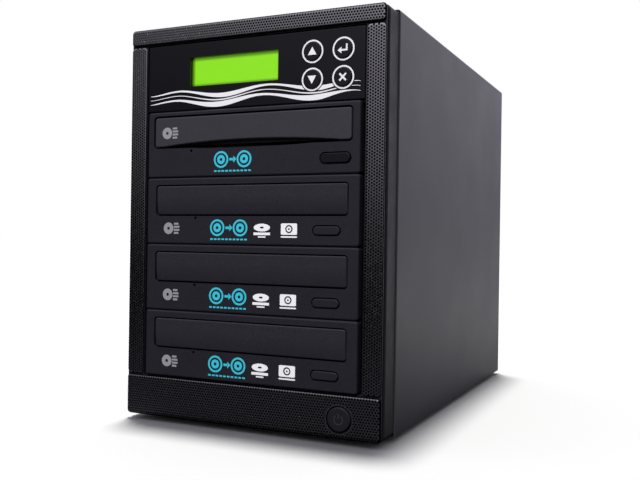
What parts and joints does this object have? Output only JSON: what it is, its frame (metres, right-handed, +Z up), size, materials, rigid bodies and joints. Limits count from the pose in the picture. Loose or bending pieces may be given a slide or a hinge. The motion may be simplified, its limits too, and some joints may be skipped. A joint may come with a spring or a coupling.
{
  "type": "disc duplicator tower",
  "caption": "Standalone optical disc duplicator tower: steel cabinet, moulded front frame with perforated strips, lit control panel and stacked tray-loading drives.",
  "frame": {"origin": "middle of the footprint at the underside of the feet", "axes": "+Z up, +X to the right seen from the front, +Y from the drive faces to the back"},
  "size_m": [0.1796, 0.3062, 0.2548],
  "materials": {
    "cover_paint": "satin dark grey powder coat",
    "zinc_steel": "zinc-plated sheet",
    "rear_paint": "satin dark grey powder coat",
    "frame_plastic": "fine moulded texture",
    "mesh_steel": "perforated and painted",
    "panel_gloss": "polished black",
    "window_clear": "clear polished",
    "screen_lit": "lit green display",
    "board_green": "solder mask",
    "key_gloss": "satin black",
    "switch_plastic": "moulded black",
    "rocker_plastic": "polished black",
    "contact_brass": "nickel-plated",
    "spacer_brass": "turned",
    "drive_plastic": "fine spark texture",
    "door_plastic": "fine spark texture",
    "reader_door_plastic": "satin moulded",
    "eject_plastic": "smooth moulded",
    "tray_plastic": "moulded black",
    "loader_plastic": "moulded black",
    "spindle_metal": "turned",
    "fan_plastic": "moulded black",
    "guard_chrome": "bright plated wire",
    "screw_black": "black oxide",
    "screw_zinc": "zinc plated",
    "foot_rubber": "moulded rubber"
  },
  "bodies": {
    "cabinet": {"cover": "cover_paint", "base_chassis": "zinc_steel", "drive_cage_left": "zinc_steel", "drive_cage_right": "zinc_steel", "supply_case": "zinc_steel", "reader_case": "zinc_steel", "writer_1_case": "zinc_steel", "writer_2_case": "zinc_steel", "writer_3_case": "zinc_steel", "rear_panel": "rear_paint", "front_bezel": "frame_plastic", "top_mesh": "mesh_steel", "side_meshes": "mesh_steel", "bottom_mesh": "mesh_steel", "control_panel": "panel_gloss", "screen_window": "window_clear", "screen_module": "screen_lit", "keypad_board": "board_green", "controller_board": "board_green", "power_switch": "switch_plastic", "mains_inlet": "switch_plastic", "inlet_pins": "contact_brass", "board_spacers": "spacer_brass", "reader_face": "drive_plastic", "writer_1_face": "drive_plastic", "writer_2_face": "drive_plastic", "writer_3_face": "drive_plastic", "reader_loader": "loader_plastic", "writer_1_loader": "loader_plastic", "writer_2_loader": "loader_plastic", "writer_3_loader": "loader_plastic", "fan_frame": "fan_plastic", "fan_guard": "guard_chrome", "rear_screws": "screw_black", "cover_thumbscrews": "screw_black", "drive_screws": "screw_zinc", "feet": "foot_rubber"},
    "reader_carriage": {"reader_tray": "tray_plastic", "reader_door": "reader_door_plastic"},
    "reader_eject_button": {"reader_eject": "key_gloss"},
    "reader_turntable": {"reader_spindle": "spindle_metal"},
    "writer_1_carriage": {"writer_1_tray": "tray_plastic", "writer_1_door": "door_plastic"},
    "writer_1_eject_button": {"writer_1_eject": "eject_plastic"},
    "writer_1_turntable": {"writer_1_spindle": "spindle_metal"},
    "writer_2_carriage": {"writer_2_tray": "tray_plastic", "writer_2_door": "door_plastic"},
    "writer_2_eject_button": {"writer_2_eject": "eject_plastic"},
    "writer_2_turntable": {"writer_2_spindle": "spindle_metal"},
    "writer_3_carriage": {"writer_3_tray": "tray_plastic", "writer_3_door": "door_plastic"},
    "writer_3_eject_button": {"writer_3_eject": "eject_plastic"},
    "writer_3_turntable": {"writer_3_spindle": "spindle_metal"},
    "up_key_cap": {"up_key": "key_gloss"},
    "enter_key_cap": {"enter_key": "key_gloss"},
    "down_key_cap": {"down_key": "key_gloss"},
    "escape_key_cap": {"escape_key": "key_gloss"},
    "power_button_cap": {"power_button": "frame_plastic"},
    "mains_rocker_paddle": {"mains_rocker": "rocker_plastic"},
    "fan_wheel": {"fan_rotor": "fan_plastic"}
  },
  "joints": [
    {"name": "reader_tray_slide", "type": "slide", "parent": "cabinet", "child": "reader_carriage", "axis": [0, -1, 0], "range_m": [0, 0.135]},
    {"name": "reader_eject_press", "type": "slide", "parent": "cabinet", "child": "reader_eject_button", "axis": [0, 1, 0], "range_m": [0, 0.0012], "stiffness_N_per_m": 300},
    {"name": "reader_turntable_spin", "type": "hinge", "parent": "cabinet", "child": "reader_turntable", "pos_m": [0, -0.083, 0.1749], "axis": [0, 0, 1], "continuous": true},
    {"name": "writer_1_tray_slide", "type": "slide", "parent": "cabinet", "child": "writer_1_carriage", "axis": [0, -1, 0], "range_m": [0, 0.135]},
    {"name": "writer_1_eject_press", "type": "slide", "parent": "cabinet", "child": "writer_1_eject_button", "axis": [0, 1, 0], "range_m": [0, 0.0012], "stiffness_N_per_m": 300},
    {"name": "writer_1_turntable_spin", "type": "hinge", "parent": "cabinet", "child": "writer_1_turntable", "pos_m": [0, -0.083, 0.1326], "axis": [0, 0, 1], "continuous": true},
    {"name": "writer_2_tray_slide", "type": "slide", "parent": "cabinet", "child": "writer_2_carriage", "axis": [0, -1, 0], "range_m": [0, 0.135]},
    {"name": "writer_2_eject_press", "type": "slide", "parent": "cabinet", "child": "writer_2_eject_button", "axis": [0, 1, 0], "range_m": [0, 0.0012], "stiffness_N_per_m": 300},
    {"name": "writer_2_turntable_spin", "type": "hinge", "parent": "cabinet", "child": "writer_2_turntable", "pos_m": [0, -0.083, 0.0903], "axis": [0, 0, 1], "continuous": true},
    {"name": "writer_3_tray_slide", "type": "slide", "parent": "cabinet", "child": "writer_3_carriage", "axis": [0, -1, 0], "range_m": [0, 0.135]},
    {"name": "writer_3_eject_press", "type": "slide", "parent": "cabinet", "child": "writer_3_eject_button", "axis": [0, 1, 0], "range_m": [0, 0.0012], "stiffness_N_per_m": 300},
    {"name": "writer_3_turntable_spin", "type": "hinge", "parent": "cabinet", "child": "writer_3_turntable", "pos_m": [0, -0.083, 0.048], "axis": [0, 0, 1], "continuous": true},
    {"name": "up_key_press", "type": "slide", "parent": "cabinet", "child": "up_key_cap", "axis": [0, 1, 0], "range_m": [0, 0.0008], "stiffness_N_per_m": 300},
    {"name": "enter_key_press", "type": "slide", "parent": "cabinet", "child": "enter_key_cap", "axis": [0, 1, 0], "range_m": [0, 0.0008], "stiffness_N_per_m": 300},
    {"name": "down_key_press", "type": "slide", "parent": "cabinet", "child": "down_key_cap", "axis": [0, 1, 0], "range_m": [0, 0.0008], "stiffness_N_per_m": 300},
    {"name": "escape_key_press", "type": "slide", "parent": "cabinet", "child": "escape_key_cap", "axis": [0, 1, 0], "range_m": [0, 0.0008], "stiffness_N_per_m": 300},
    {"name": "power_button_press", "type": "slide", "parent": "cabinet", "child": "power_button_cap", "axis": [0, 1, 0], "range_m": [0, 0.0015], "stiffness_N_per_m": 300},
    {"name": "mains_rocker_tilt", "type": "hinge", "parent": "cabinet", "child": "mains_rocker_paddle", "pos_m": [-0.04, 0.1459, 0.0465], "axis": [1, 0, 0], "range_deg": [0, 16]},
    {"name": "fan_spin", "type": "hinge", "parent": "cabinet", "child": "fan_wheel", "pos_m": [0, 0.1349, 0.153], "axis": [0, 1, 0], "continuous": true}
  ]
}
